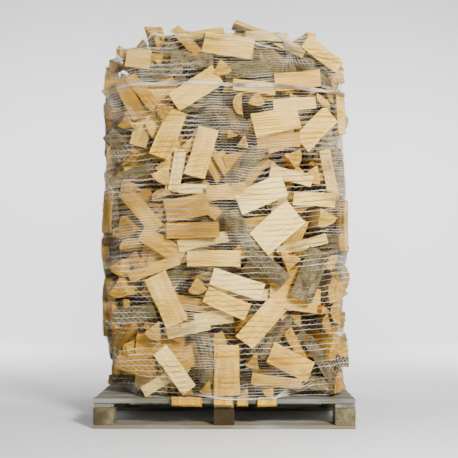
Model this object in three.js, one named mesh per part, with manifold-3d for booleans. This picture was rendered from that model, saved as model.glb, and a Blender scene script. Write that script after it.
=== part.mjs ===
// A pallet load of split birch firewood: logs about 25 cm long, tipped loose onto a wooden pallet and held by a
// wrapped net. Millimetres, +Z up, origin on the ground under the middle of the pallet, front towards -Y.
import * as THREE from "three";
import { mergeVertices } from "three/addons/utils/BufferGeometryUtils.js";
import Module from "manifold-3d";

const wasm = await Module();
wasm.setup();

// ---- driving dimensions ----
const PALLET_LENGTH = 1200; // along X
const PALLET_DEPTH = 1000; // along Y
const BASE_THICK = 18; // the three runners on the ground
const BASE_WIDE = 100;
const BLOCK_HIGH = 78;
const BLOCK_WIDE = 95;
const BLOCK_DEEP = 100;
const STRINGER_THICK = 18;
const DECK_THICK = 22;
const DECK_WIDE = 95;
const DECK_BOARDS = 9;

const LOAD_HALF_LENGTH = 618; // half the load's width along X, at its fullest
const LOAD_HALF_DEPTH = 515;
const LOAD_TOP = 1970;
const FULL_HEIGHT = 620; // the load widens from the deck up to this height
const FOOT_SHARE = 0.955; // its width at the deck, as a share of the fullest
const SHOULDER_START = 1050; // above this height the load draws in towards its crown
const PLAN_POWER = 6; // how square the load is in plan: 2 is an ellipse, more is squarer
const FOOT_POWER = 3.6; // the same at the deck on the left, where the corners are rounder
const CROWN_POWER = 7; // how square its shoulders are
const PILE_FLATS = 28; // flats round the pile
const PILE_INSET = 8; // the tipped logs lie this far inside the outline that the outermost logs reach

const LOG_LENGTH = 245;
const LOG_CLEARANCE = 0.6; // room round each outer log in the pile
const LOG_OPENING = 120; // how far the room in front of an outer log is kept free of the pile
const SETTLE_STEP = 2; // how far a log is moved in at a time while it finds its place
const ARC_STEPS = 5; // flats on the bark side of a log

const NET_CORD_RADIUS = 2.5;
const NET_EDGE_RADIUS = 5; // the net's roped upper edge
const NET_EDGE_HEIGHT = 1575;
const NET_GAP = 7; // from the logs' outline to the middle of a cord
const NET_UPRIGHTS = 6;
const RING_STEPS = 24;

// ---- worked-out levels ----
const BASE_TOP = BASE_THICK;
const BLOCK_TOP = BASE_TOP + BLOCK_HIGH;
const STRINGER_TOP = BLOCK_TOP + STRINGER_THICK;
const DECK_TOP = STRINGER_TOP + DECK_THICK;
const CROWN_HIGH = LOAD_TOP - SHOULDER_START;

const materials = {
  weathered: new THREE.MeshStandardMaterial({ color: 0xa29e91, roughness: 0.85, metalness: 0 }),
  block: new THREE.MeshStandardMaterial({ color: 0x776b52, roughness: 0.9, metalness: 0 }),
  split: new THREE.MeshStandardMaterial({ color: 0xdfc08c, roughness: 0.75, metalness: 0 }),
  pile: new THREE.MeshStandardMaterial({ color: 0xb48a50, roughness: 0.85, metalness: 0 }),
  net: new THREE.MeshStandardMaterial({ color: 0xdfe3e4, roughness: 0.4, metalness: 0 }),
};

const load = new THREE.Group();

function addMesh(name, geometry, material) {
  const mesh = new THREE.Mesh(geometry, material);
  mesh.name = name;
  load.add(mesh);
  return mesh;
}

// ---- the pallet: nine blocks between three runners and three stringers, under a deck of boards ----
function addBoard(name, size, centre, material) {
  addMesh(name, new THREE.BoxGeometry(...size), material).position.set(...centre);
}

function addPallet() {
  const columnX = (PALLET_LENGTH - BLOCK_WIDE) / 2;
  const rowY = (PALLET_DEPTH - BLOCK_DEEP) / 2;
  const columns = { left: -columnX, middle: 0, right: columnX };
  const rows = { front: -rowY, centre: 0, back: rowY };
  for (const [row, y] of Object.entries(rows)) {
    const runner = [PALLET_LENGTH, BASE_WIDE, BASE_THICK];
    addBoard(`runner_${row}`, runner, [0, y, BASE_THICK / 2], materials.weathered);
    for (const [column, x] of Object.entries(columns)) {
      const block = [BLOCK_WIDE, BLOCK_DEEP, BLOCK_HIGH];
      addBoard(`block_${row}_${column}`, block, [x, y, BASE_TOP + BLOCK_HIGH / 2], materials.block);
    }
  }
  for (const [column, x] of Object.entries(columns)) {
    const stringer = [BLOCK_WIDE, PALLET_DEPTH, STRINGER_THICK];
    addBoard(`stringer_${column}`, stringer, [x, 0, BLOCK_TOP + STRINGER_THICK / 2], materials.weathered);
  }
  const pitch = (PALLET_DEPTH - DECK_WIDE) / (DECK_BOARDS - 1);
  for (let i = 0; i < DECK_BOARDS; i++) {
    const y = (DECK_WIDE - PALLET_DEPTH) / 2 + i * pitch;
    const board = [PALLET_LENGTH, DECK_WIDE, DECK_THICK];
    addBoard(`deck_board_${i + 1}`, board, [0, y, STRINGER_TOP + DECK_THICK / 2], materials.weathered);
  }
}

// ---- the outline of the load: a squared oval in plan that draws in over its shoulders ----
// Share of the full plan size that the load keeps at a height.
function shareAt(z) {
  const t = Math.max(0, z - SHOULDER_START) / CROWN_HIGH;
  return Math.pow(Math.max(0, 1 - Math.pow(t, CROWN_POWER)), 1 / CROWN_POWER);
}

// Height at which the load has drawn in to a share of its plan size.
function heightAt(share) {
  return SHOULDER_START + CROWN_HIGH * Math.pow(1 - Math.pow(share, CROWN_POWER), 1 / CROWN_POWER);
}

// How far up a height is from the deck to where the load is full, from 0 to 1.
function fullness(z) {
  return THREE.MathUtils.smoothstep(z, DECK_TOP, FULL_HEIGHT);
}

function halfLengthAt(z) {
  return LOAD_HALF_LENGTH * THREE.MathUtils.lerp(FOOT_SHARE, 1, fullness(z));
}

function planPowerAt(x, z) {
  return x > 0 ? PLAN_POWER : THREE.MathUtils.lerp(FOOT_POWER, PLAN_POWER, fullness(z));
}

// Distance from the middle plane to the load's front, at x and z.
function frontAt(x, z) {
  const power = planPowerAt(x, z);
  const across = Math.min(0.999, Math.abs(x) / (halfLengthAt(z) * shareAt(z)));
  return LOAD_HALF_DEPTH * shareAt(z) * Math.pow(1 - Math.pow(across, power), 1 / power);
}

// Point of the squared oval at an angle, for a share of the plan size and a gap outside it.
function ovalPoint(angle, share, gap, z) {
  const [c, s] = [Math.cos(angle), Math.sin(angle)];
  const power = planPowerAt(c, z);
  const squared = (v) => (Math.abs(v) < 1e-9 ? 0 : Math.sign(v) * Math.pow(Math.abs(v), 2 / power));
  const x = squared(c) * (halfLengthAt(z) * share + gap);
  return new THREE.Vector3(x, squared(s) * (LOAD_HALF_DEPTH * share + gap), z);
}

// ---- sections of split logs: u runs across the side that shows, v into the pile ----
function sector(radius, spread, mirrored) {
  // A wedge with its heart at one edge of the side that shows and bark on the far curve.
  const side = mirrored ? -1 : 1;
  const points = [new THREE.Vector2((-side * radius) / 2, 0)];
  for (let i = 0; i <= ARC_STEPS; i++) {
    const a = (spread * i) / ARC_STEPS;
    points.push(new THREE.Vector2(side * (radius * Math.cos(a) - radius / 2), radius * Math.sin(a)));
  }
  return new THREE.Shape(mirrored ? points.reverse() : points);
}

function halfRound(width) {
  const points = [];
  for (let i = 0; i <= 2 * ARC_STEPS; i++) {
    const a = (Math.PI * i) / (2 * ARC_STEPS);
    points.push(new THREE.Vector2((width / 2) * Math.cos(a), (width / 2) * 0.8 * Math.sin(a)));
  }
  return new THREE.Shape(points);
}

function barkOut(width, spread) {
  // A wedge turned round: the bark curve shows and the heart points into the pile.
  const radius = width / 2 / Math.sin(spread / 2);
  const points = [new THREE.Vector2(0, radius)];
  for (let i = 0; i <= ARC_STEPS; i++) {
    const a = spread * (i / ARC_STEPS - 0.5);
    points.push(new THREE.Vector2(radius * Math.sin(a), radius * (1 - Math.cos(a))));
  }
  return new THREE.Shape(points);
}

const degrees = THREE.MathUtils.degToRad;

const SECTIONS = {
  wedge: (width) => sector(width, degrees(52), false),
  wedge_mirrored: (width) => sector(width, degrees(52), true),
  broad: (width) => sector(width * 0.95, degrees(68), false),
  half: (width) => halfRound(width),
  bark: (width) => barkOut(width, degrees(85)),
};

// Outward direction of the load's outline where it passes x and z at the front.
function outwardAt(x, z) {
  const step = 1;
  const slopeX = (frontAt(x + step, z) - frontAt(x - step, z)) / (2 * step);
  const slopeZ = (frontAt(x, z + step) - frontAt(x, z - step)) / (2 * step);
  return new THREE.Vector3(-slopeX, -1, -slopeZ).normalize();
}

// True when every corner of a log lies within the load's outline.
function inOutline(geometry) {
  const at = geometry.getAttribute("position");
  for (let i = 0; i < at.count; i++) {
    const [x, y, z] = [at.getX(i), at.getY(i), at.getZ(i)];
    const inside = Math.abs(x) < 0.998 * halfLengthAt(z) * shareAt(z) && Math.abs(y) <= frontAt(x, z);
    if (z < DECK_TOP || !inside) return false;
  }
  return true;
}

// A log lying flat against the outline at x and z, or pointing into the pile when endOn is set. turn is the slope
// of its length, or of its end in the end's own plane.
function logAt({ x, z, turn, width, section = "wedge", length = LOG_LENGTH, endOn = false }) {
  const geometry = new THREE.ExtrudeGeometry(SECTIONS[section](width), {
    depth: length,
    bevelEnabled: false,
    steps: 1,
  });
  const t = degrees(turn);
  const outward = outwardAt(x, z);
  const slope = new THREE.Vector3(Math.cos(t), 0, Math.sin(t));
  const along = slope.clone().projectOnPlane(outward).normalize();
  const inward = outward.clone().negate();
  if (endOn) {
    geometry.computeBoundingBox();
    const middle = geometry.boundingBox.getCenter(new THREE.Vector3());
    geometry.translate(-middle.x, -middle.y, 0);
    const across = new THREE.Vector3().crossVectors(inward, along);
    geometry.applyMatrix4(new THREE.Matrix4().makeBasis(along, across, inward));
  } else {
    geometry.translate(0, 0, -length / 2);
    const across = new THREE.Vector3().crossVectors(inward, along);
    geometry.applyMatrix4(new THREE.Matrix4().makeBasis(across, inward, along));
  }
  geometry.translate(x, -frontAt(x, z), z);
  return { geometry, inward };
}

// ---- the outer logs that show best, from the crown down ----
const OUTER_LOGS = [
  { x: 20, z: 1785, turn: -9, width: 108, length: 235 },
  { x: 482, z: 1765, turn: -31, width: 84, length: 205 },
  { x: 345, z: 1616, turn: 6, width: 82, length: 215, section: "wedge_mirrored" },
  { x: 112, z: 1668, turn: 2, width: 80, length: 215, section: "bark" },
  { x: -133, z: 1574, turn: 33, width: 103 },
  { x: -445, z: 1530, turn: -62, width: 72, length: 205, section: "wedge_mirrored" },
  { x: 244, z: 1417, turn: 11, width: 110, length: 215 },
  { x: 437, z: 1384, turn: 46, width: 94, length: 205 },
  { x: -261, z: 1357, turn: 67, width: 94, section: "wedge_mirrored", length: 232 },
  { x: -106, z: 1272, turn: 74, width: 97, length: 235 },
  { x: 172, z: 1075, turn: 24, width: 104, length: 232, section: "wedge_mirrored" },
  { x: -175, z: 1012, turn: 11, width: 100, length: 205 },
  { x: 242, z: 916, turn: 42, width: 135, length: 228 },
  { x: -148, z: 908, turn: 1, width: 72 },
  { x: -290, z: 840, turn: -32, width: 76, length: 225, section: "wedge_mirrored" },
  { x: -49, z: 776, turn: 0, width: 73 },
  { x: 402, z: 702, turn: 67, width: 108, section: "bark" },
  { x: 60, z: 660, turn: -17, width: 80, section: "wedge_mirrored" },
  { x: -267, z: 589, turn: -65, width: 104 },
  { x: 12, z: 572, turn: -24, width: 78, length: 210 },
  { x: 168, z: 478, turn: 49, width: 99, length: 230, section: "wedge_mirrored" },
  { x: 303, z: 303, turn: -26, width: 100, length: 205, section: "half" },
  { x: -422, z: 284, turn: -11, width: 92, length: 190 },
  { x: 12, z: 264, turn: 90, width: 116, length: 225, section: "half" },
  { x: -226, z: 267, turn: -53, width: 74, length: 228 },
  { x: 330, z: 1236, turn: 20, width: 88, section: "broad", endOn: true },
  { x: -474, z: 905, turn: -40, width: 112, section: "broad", endOn: true },
  { x: 530, z: 640, turn: 200, width: 118, section: "broad", endOn: true },
  { x: 516, z: 368, turn: 75, width: 132, section: "half", endOn: true },
  { x: 545, z: 208, turn: 185, width: 104, section: "broad", endOn: true },
];

// ---- solids for cutting, and back ----
function solidOf(geometry) {
  const bare = geometry.clone();
  bare.deleteAttribute("normal");
  bare.deleteAttribute("uv");
  const merged = mergeVertices(bare, 1e-3);
  const vertProperties = merged.getAttribute("position").array;
  const corners = [];
  for (let i = 0; i < merged.index.count; i += 3) {
    const [a, b, c] = [0, 1, 2].map((k) => merged.index.getX(i + k));
    if (a !== b && b !== c && c !== a) corners.push(a, b, c);
  }
  const triVerts = new Uint32Array(corners);
  return new wasm.Manifold(new wasm.Mesh({ numProp: 3, vertProperties, triVerts }));
}

function geometryOf(solid) {
  const mesh = solid.getMesh();
  const geometry = new THREE.BufferGeometry();
  geometry.setAttribute("position", new THREE.BufferAttribute(mesh.vertProperties, 3));
  geometry.setIndex(new THREE.BufferAttribute(mesh.triVerts, 1));
  return geometry;
}

// The log's own solid, swollen about its middle by the clearance on every side.
function pocketOf(geometry) {
  const swollen = geometry.clone();
  swollen.computeBoundingBox();
  const middle = swollen.boundingBox.getCenter(new THREE.Vector3());
  const size = swollen.boundingBox.getSize(new THREE.Vector3());
  swollen.translate(-middle.x, -middle.y, -middle.z);
  const grow = 1 + (2 * LOG_CLEARANCE) / Math.min(size.x, size.y, size.z);
  swollen.scale(grow, grow, grow);
  swollen.translate(middle.x, middle.y, middle.z);
  return solidOf(swollen);
}

// ---- the tipped logs behind the outer ones, as one body that reaches their tips ----
function pileGeometry() {
  const crownShares = [0.99, 0.96, 0.9, 0.8, 0.64, 0.4];
  const sideHeights = [DECK_TOP, 300, 450, 620, 900, 1200, 1450];
  const profile = [new THREE.Vector2(0, DECK_TOP)];
  for (const z of sideHeights) profile.push(new THREE.Vector2(shareAt(z), z));
  for (const share of crownShares) profile.push(new THREE.Vector2(share, heightAt(share)));
  profile.push(new THREE.Vector2(0, LOAD_TOP));
  const geometry = new THREE.LatheGeometry(profile, PILE_FLATS);
  const at = geometry.getAttribute("position");
  for (let i = 0; i < at.count; i++) {
    const share = Math.hypot(at.getX(i), at.getZ(i));
    const angle = Math.atan2(-at.getZ(i), at.getX(i));
    const lump = 4 * Math.sin(5 * angle + at.getY(i) / 90) + 4;
    const gap = -share * (PILE_INSET + lump);
    const point = ovalPoint(angle, share, gap, Math.min(at.getY(i), LOAD_TOP - PILE_INSET));
    at.setXYZ(i, point.x, point.y, point.z);
  }
  return geometry;
}

function addLoad() {
  let pile = solidOf(pileGeometry());
  if (pile.volume() < 0) throw new Error("the pile is inside out");
  const placed = [];
  OUTER_LOGS.forEach((log, i) => {
    // Each log goes in until it lies within the outline and clear of the logs in front of it.
    const { geometry, inward } = logAt(log);
    let pocket = pocketOf(geometry);
    const meets = (other) => other.intersect(pocket).volume() > 0;
    while (!inOutline(geometry) || placed.some(meets)) {
      geometry.translate(...inward.clone().multiplyScalar(SETTLE_STEP));
      pocket = pocketOf(geometry);
    }
    placed.push(solidOf(geometry));
    const outward = inward.clone().multiplyScalar(-LOG_OPENING);
    pile = pile.subtract(wasm.Manifold.hull([pocket, pocket.translate(outward.toArray())]));
    addMesh(`log_${String(i + 1).padStart(2, "0")}`, geometry, materials.split);
  });
  const bodies = pile.decompose().sort((a, b) => b.volume() - a.volume());
  addMesh("log_pile", geometryOf(bodies[0]), materials.pile);
}

// ---- the net: a coarse mesh of cords over the load's outline, gathered to a knot on the crown ----
// A path of straight runs through given points, each run taking the same share of the path.
class StraightRuns extends THREE.Curve {
  constructor(points) {
    super();
    this.points = points;
  }
  getPoint(t, target = new THREE.Vector3()) {
    const at = THREE.MathUtils.clamp(t, 0, 1) * (this.points.length - 1);
    const i = Math.min(Math.floor(at), this.points.length - 2);
    return target.lerpVectors(this.points[i], this.points[i + 1], at - i);
  }
  getPointAt(t, target) {
    return this.getPoint(t, target);
  }
  getTangentAt(t, target) {
    return this.getTangent(t, target);
  }
}

function ringSolid({ z, share, gap }, radius) {
  const points = [];
  for (let i = 0; i <= RING_STEPS; i++) points.push(ovalPoint((2 * Math.PI * i) / RING_STEPS, share, gap, z));
  return solidOf(new THREE.TubeGeometry(new StraightRuns(points), RING_STEPS, radius, 4, true));
}

function uprightSolid(angle, stops) {
  const path = new StraightRuns(stops.map(({ z, share, gap }) => ovalPoint(angle, share, gap - 1, z)));
  const r = NET_CORD_RADIUS - 0.3;
  const corners = [[-r, -r], [r, -r], [r, r], [-r, r]];
  const section = new THREE.Shape(corners.map((corner) => new THREE.Vector2(...corner)));
  const steps = stops.length - 1;
  return solidOf(new THREE.ExtrudeGeometry(section, { steps, extrudePath: path, bevelEnabled: false }));
}

function addNet() {
  const sideHeights = [141, 330, 520, 710, 900, 1090, 1270, 1430, NET_EDGE_HEIGHT, 1680];
  const crownShares = [0.94, 0.9, 0.83, 0.74, 0.6, 0.42, 0.2];
  const ringless = [1680, 0.9, 0.74, 0.42];
  const stops = sideHeights.map((z) => ({ mark: z, z, share: shareAt(z), gap: NET_GAP }));
  for (const share of crownShares) {
    stops.push({ mark: share, z: heightAt(share) + NET_GAP * (1.6 - share), share, gap: NET_GAP });
  }
  let net = null;
  for (const stop of stops) {
    if (ringless.includes(stop.mark)) continue;
    const ring = ringSolid(stop, stop.mark === NET_EDGE_HEIGHT ? NET_EDGE_RADIUS : NET_CORD_RADIUS);
    net = net ? net.add(ring) : ring;
  }
  const knotZ = LOAD_TOP + NET_GAP * 1.6;
  const route = [...stops, { z: knotZ, share: 0.01, gap: 0 }];
  for (let i = 0; i < NET_UPRIGHTS; i++) {
    net = net.add(uprightSolid((2 * Math.PI * (i + 0.5)) / NET_UPRIGHTS, route));
  }
  const knot = new THREE.SphereGeometry(14, 8, 6);
  knot.scale(1.6, 1.6, 0.45);
  knot.translate(0, 0, knotZ);
  addMesh("net", geometryOf(net.add(solidOf(knot)).simplify(0.1)), materials.net);
}

addPallet();
addLoad();
addNet();

export default load;
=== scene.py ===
"""Looks for a pallet load of split birch firewood under a wrapped net. Metres, +Z up, front at -Y."""

import math

import bpy
import numpy as np
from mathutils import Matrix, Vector
from mathutils.bvhtree import BVHTree


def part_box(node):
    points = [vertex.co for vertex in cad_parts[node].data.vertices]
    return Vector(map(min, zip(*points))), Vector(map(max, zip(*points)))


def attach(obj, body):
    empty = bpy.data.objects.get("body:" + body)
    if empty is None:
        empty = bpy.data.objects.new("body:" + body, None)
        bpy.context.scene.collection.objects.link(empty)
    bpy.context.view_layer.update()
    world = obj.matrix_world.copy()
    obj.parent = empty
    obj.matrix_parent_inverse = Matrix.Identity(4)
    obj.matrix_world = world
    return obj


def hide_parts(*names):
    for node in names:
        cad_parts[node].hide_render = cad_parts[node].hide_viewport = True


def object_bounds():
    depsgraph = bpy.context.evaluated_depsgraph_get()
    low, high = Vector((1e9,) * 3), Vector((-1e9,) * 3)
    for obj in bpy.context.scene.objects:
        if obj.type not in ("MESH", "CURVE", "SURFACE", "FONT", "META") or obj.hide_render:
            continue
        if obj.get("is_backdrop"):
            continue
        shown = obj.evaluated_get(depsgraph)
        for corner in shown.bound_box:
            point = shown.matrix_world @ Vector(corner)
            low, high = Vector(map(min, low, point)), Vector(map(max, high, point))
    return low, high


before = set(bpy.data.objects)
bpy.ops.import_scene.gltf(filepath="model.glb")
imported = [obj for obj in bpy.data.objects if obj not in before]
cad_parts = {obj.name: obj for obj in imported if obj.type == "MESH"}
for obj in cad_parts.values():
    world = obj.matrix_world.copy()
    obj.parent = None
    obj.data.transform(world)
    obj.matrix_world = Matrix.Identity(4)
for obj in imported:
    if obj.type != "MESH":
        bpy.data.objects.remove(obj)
packed_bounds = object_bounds()


# ---- Split birch -------------------------------------------------------------------------------------
# Logs about 25 cm long, sawn square at the ends and split lengthwise. Three finishes show: the torn
# fibres of a split side, the sawn end with its growth rings, and dull olive-grey bark.


class Wire:
    """A value in a material's node tree. Arithmetic on wires adds Math nodes, and node() adds any other."""

    def __init__(self, socket):
        self.socket, self.tree = socket, socket.id_data

    def node(self, kind, inputs, output=0, **settings):
        """Adds a node with these settings, links or sets its sockets, and gives one of its outputs."""
        made = self.tree.nodes.new("ShaderNode" + kind)
        for name, value in settings.items():
            setattr(made, name, value)
        for key, value in inputs.items():
            if isinstance(value, Wire):
                self.tree.links.new(value.socket, made.inputs[key])
            else:
                made.inputs[key].default_value = value
        return Wire(made.outputs[output])

    def math(self, operation, other=0.0):
        return self.node("Math", {0: self, 1: other}, operation=operation)

    def __add__(self, other):
        return self.math("ADD", other)

    def __sub__(self, other):
        return self.math("SUBTRACT", other)

    def __rsub__(self, other):
        return self.node("Math", {0: other, 1: self}, operation="SUBTRACT")

    def __mul__(self, other):
        return self.math("MULTIPLY", other)

    __radd__ = __add__
    __rmul__ = __mul__

    def stretched(self, x, y, z):
        """This vector with each axis scaled."""
        return self.node("VectorMath", {0: self, 1: (x, y, z)}, operation="MULTIPLY")

    def noise(self, scale, detail=3.0, rough=0.55, warp=0.0):
        inputs = {"Vector": self, "Scale": scale, "Detail": detail, "Roughness": rough, "Distortion": warp}
        return self.node("TexNoise", inputs)

    def step(self, low, high):
        """0 below low, 1 above high, and smooth between."""
        inputs = {"Value": self, "From Min": low, "From Max": high}
        return self.node("MapRange", inputs, interpolation_type="SMOOTHSTEP")

    def blend(self, a, b):
        """Colour a where this is 0 and colour b where it is 1."""
        return self.node("Mix", {0: self, 6: a, 7: b}, output=2, data_type="RGBA")

    def bump(self, distance, strength=1.0):
        return self.node("Bump", {"Height": self, "Distance": distance, "Strength": strength})


def tint(red, green, blue):
    """A colour given as 0 to 255 display values, as the linear values that a socket takes."""
    shares = [value / 255 for value in (red, green, blue)]
    linear = [share / 12.92 if share < 0.0404 else ((share + 0.055) / 1.055) ** 2.4 for share in shares]
    return (*linear, 1.0)


def new_material(name, rough):
    """A material and the wires of its mesh's grain and tone attributes."""
    material = bpy.data.materials.new(name)
    material.use_nodes = True
    shader = material.node_tree.nodes["Principled BSDF"]
    shader.inputs["Roughness"].default_value = rough
    shader.inputs["Specular IOR Level"].default_value = 0.3
    wires = []
    for attribute in ("grain", "tone"):
        source = material.node_tree.nodes.new("ShaderNodeAttribute")
        source.attribute_name = attribute
        wires.append(Wire(source.outputs["Vector"]))
    return material, shader, wires[0], wires[1]


def plug(shader, **wires):
    """Links each wire to the shader's input of that name."""
    for name, wire in wires.items():
        shader.id_data.links.new(wire.socket, shader.inputs[name.replace("_", " ")])


def parts_of(vector):
    """The x, y and z of a vector wire."""
    made = vector.tree.nodes.new("ShaderNodeSeparateXYZ")
    vector.tree.links.new(vector.socket, made.inputs[0])
    return [Wire(o) for o in made.outputs]


def ring_field(grain):
    """Distance from the tree's heart, wandering a little: rings are arcs on ends and streaks on sides."""
    along, y, z = parts_of(grain)
    radius = (y * y + z * z).math("SQRT")
    return radius + (grain.stretched(0.35, 1, 1).noise(18, 2) - 0.5) * 0.012


def split_wood():
    """Split sides: streaks and fibres along the grain over faint rings, cream to gold, with brown stains."""
    material, shader, grain, tone = new_material("split_wood", 0.72)
    light, warm, dirt = parts_of(tone)
    radius = ring_field(grain)
    rings = (radius * 900).math("SINE") * 0.5 + 0.5
    fibres = grain.stretched(0.05, 1, 1).noise(260, 3, 0.6)
    streaks = grain.stretched(0.10, 1, 1).noise(70, 3, 0.55)
    patches = grain.stretched(0.5, 1, 1).noise(14, 2)
    cream, gold = warm.step(0.0, 0.4), warm.step(0.4, 1.0)
    pale = gold.blend(cream.blend(tint(246, 220, 138), tint(236, 193, 68)), tint(214, 160, 28))
    deep = gold.blend(cream.blend(tint(222, 178, 82), tint(190, 136, 22)), tint(154, 101, 4))
    mixed = streaks * 0.55 + rings * 0.12 + fibres * 0.3 + patches * 0.35
    colour = mixed.step(0.44, 0.90).blend(pale, deep)
    dark = dirt.step(0.55, 1.0) * patches.step(0.44, 0.64)
    colour = (dark * 0.8).blend(colour, tint(138, 89, 12))
    shade = (light * 0.36 + 0.66) * (fibres * 0.5 + 0.75)
    colour = colour.node("HueSaturation", {"Value": shade, "Color": colour})
    relief = fibres * 0.8 + streaks * 0.7 + rings * 0.1
    plug(shader, Base_Color=colour, Normal=relief.bump(0.0022), Roughness=streaks * 0.2 + 0.6)
    return material


def end_wood():
    """Sawn ends: rings, blotches and short fur, with saw marks across and grey-brown stains."""
    material, shader, grain, tone = new_material("sawn_end", 0.8)
    light, warm, dirt = parts_of(tone)
    radius = ring_field(grain)
    rings = (radius * 1300).math("SINE") * 0.5 + 0.5
    broad = (radius * 260).math("SINE") * 0.5 + 0.5
    fur = grain.noise(420, 2, 0.6)
    blotch = grain.noise(26, 3)
    pale = warm.blend(tint(222, 177, 60), tint(198, 146, 22))
    deep = warm.blend(tint(176, 124, 22), tint(136, 90, 4))
    colour = (rings * 0.2 + broad * 0.2 + blotch * 0.75 + fur * 0.2).step(0.4, 0.95).blend(pale, deep)
    colour = (dirt.step(0.4, 1.0) * blotch.step(0.4, 0.6) * 0.7).blend(colour, tint(122, 92, 56))
    shade = (light * 0.3 + 0.68) * (fur * 0.4 + 0.8)
    colour = colour.node("HueSaturation", {"Value": shade, "Color": colour})
    saw = grain.stretched(1, 1, 0.08).noise(500, 2)
    plug(shader, Base_Color=colour, Normal=(fur * 0.6 + rings * 0.25 + saw * 0.5).bump(0.0012))
    return material


def bark():
    """Olive-grey bark: rough plates, pale flecks and mossy patches."""
    material, shader, grain, tone = new_material("bark", 0.85)
    light, warm, dirt = parts_of(tone)
    plates = grain.stretched(0.6, 1, 1).noise(34, 4, 0.6, 0.4)
    flecks = grain.stretched(2.4, 0.7, 0.7).noise(120, 2, 0.6)
    moss = grain.noise(11, 3, 0.6)
    colour = plates.step(0.36, 0.64).blend(tint(60, 50, 28), tint(124, 106, 68))
    colour = moss.step(0.5, 0.64).blend(colour, tint(90, 85, 52))
    colour = flecks.step(0.62, 0.72).blend(colour, tint(160, 143, 108))
    colour = (warm.step(0.6, 1.0) * plates.step(0.5, 0.6)).blend(colour, tint(132, 94, 48))
    shade = light * 0.4 + 0.72
    colour = colour.node("HueSaturation", {"Value": shade, "Color": colour})
    plug(shader, Base_Color=colour, Normal=(plates + flecks * 0.5).bump(0.005))
    return material


LOG_FINISHES = [split_wood(), end_wood(), bark()]
SPLIT, END, BARK = 0, 1, 2


def lattice_noise(points, seed=0):
    """Smooth random values from -1 to 1: each whole-numbered lattice corner has a hashed value, and they are
    eased between corners."""
    cell = np.floor(points).astype(np.int64)
    part = points - cell
    part = part * part * (3 - 2 * part)
    total = np.zeros(len(points))
    for corner in range(8):
        pick = np.array([(corner >> axis) & 1 for axis in range(3)])
        c = cell + pick
        h = c[:, 0] * 73856093 ^ c[:, 1] * 19349663 ^ c[:, 2] * 83492791 ^ (seed * 2654435761 & 0x7FFFFFFF)
        h = (h ^ (h >> 13)) * 1274126177 & 0x7FFFFFFF
        value = ((h ^ (h >> 16)) & 0xFFFF) / 32767.5 - 1
        weight = np.prod(np.where(pick, part, 1 - part), axis=1)
        total += value * weight
    return total


# The outline that the outermost logs reach: a squared oval in plan that draws in over its shoulders.
DECK_TOP, CROWN_TOP = 0.136, 1.970
SHOULDER, FULL_HEIGHT = 1.050, 0.620
HALF_LENGTH, HALF_DEPTH = 0.618, 0.515


# Peaks and dips of the crown along the front: x and height.
CROWN_PEAKS = [
    (-0.62, 1.74), (-0.54, 1.79), (-0.45, 1.82), (-0.38, 1.87), (-0.33, 1.91), (-0.28, 1.86), (-0.24, 1.900),
    (-0.17, 1.84), (-0.11, 1.88), (-0.03, 1.885), (0.02, 1.88), (0.06, 1.950), (0.10, 1.950), (0.16, 1.885),
    (0.23, 1.87), (0.30, 1.84), (0.37, 1.85), (0.42, 1.86), (0.50, 1.82), (0.56, 1.79), (0.62, 1.73),
]


def plan_share(z):
    """Share of its full plan size that the load keeps at height z: above the shoulder it draws in as the side
    of a rounded square does."""
    rise = np.clip((z - SHOULDER) / (CROWN_TOP - SHOULDER), 0, 1)
    return np.maximum(1 - rise**7, 1e-9) ** (1 / 7)


def fullness(z):
    """0 at the deck, 1 from the full height up, and eased between."""
    rise = np.clip((z - DECK_TOP) / (FULL_HEIGHT - DECK_TOP), 0, 1)
    return rise * rise * (3 - 2 * rise)


def half_length(z):
    """Half the load's length at height z, a little less near the deck."""
    return HALF_LENGTH * (0.955 + 0.045 * fullness(z))


def plan_power(x, z):
    """How square the plan is: the left side is rounder near the deck."""
    return np.where(x > 0, 6.0, 3.6 + 2.4 * fullness(z))


def size_at(points):
    """1 on the outline, less inside it and more outside."""
    x, y, z = np.moveaxis(np.asarray(points, float), -1, 0)
    power = plan_power(x, z)
    share = plan_share(z)
    across = np.abs(x) / (half_length(z) * share)
    deep = np.abs(y) / (HALF_DEPTH * share)
    size = (across**power + deep**power) ** (1 / power)
    return np.where(z > CROWN_TOP, 2.0, np.minimum(size, 50.0))


def crown_ceiling(x, y):
    """The height that the tops of the crown's logs reach: the peaks and dips of the front, and towards the
    back the same ones from right to left and a little higher."""
    peaks = np.array(CROWN_PEAKS)
    front = np.interp(x, peaks[:, 0], peaks[:, 1])
    behind = np.interp(-x, peaks[:, 0], peaks[:, 1]) + 0.03
    share = np.clip((y + 0.35) / 0.5, 0, 1)
    return np.minimum(front * (1 - share) + behind * share, 1.96)


def outward(points):
    """Unit direction straight out of the outline at each point."""
    points = np.atleast_2d(points)
    steps = np.eye(3) * 0.002
    slope = np.stack([size_at(points + step) - size_at(points - step) for step in steps], axis=-1)
    return slope / np.linalg.norm(slope, axis=-1, keepdims=True)


def surface_point(angle, share_or_height, on_top):
    """Point on the outline, by angle and height on the sides or angle and share of the plan on the crown."""
    if on_top:
        share = share_or_height
        z = SHOULDER + (CROWN_TOP - SHOULDER) * (1 - share**7) ** (1 / 7)
    else:
        z = share_or_height
        share = plan_share(z)
    c, s = math.cos(angle), math.sin(angle)
    power = float(plan_power(c, z))
    x = math.copysign(abs(c) ** (2 / power), c) * half_length(z) * share
    y = math.copysign(abs(s) ** (2 / power), s) * HALF_DEPTH * share
    return np.array([x, y, z])


def front_point(x, z):
    """Point on the front of the outline at x and z."""
    power = float(plan_power(x, z))
    share = plan_share(z)
    across = min(0.995, abs(x) / (half_length(z) * share))
    return np.array([x, -HALF_DEPTH * share * (1 - across**power) ** (1 / power), z])


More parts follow.
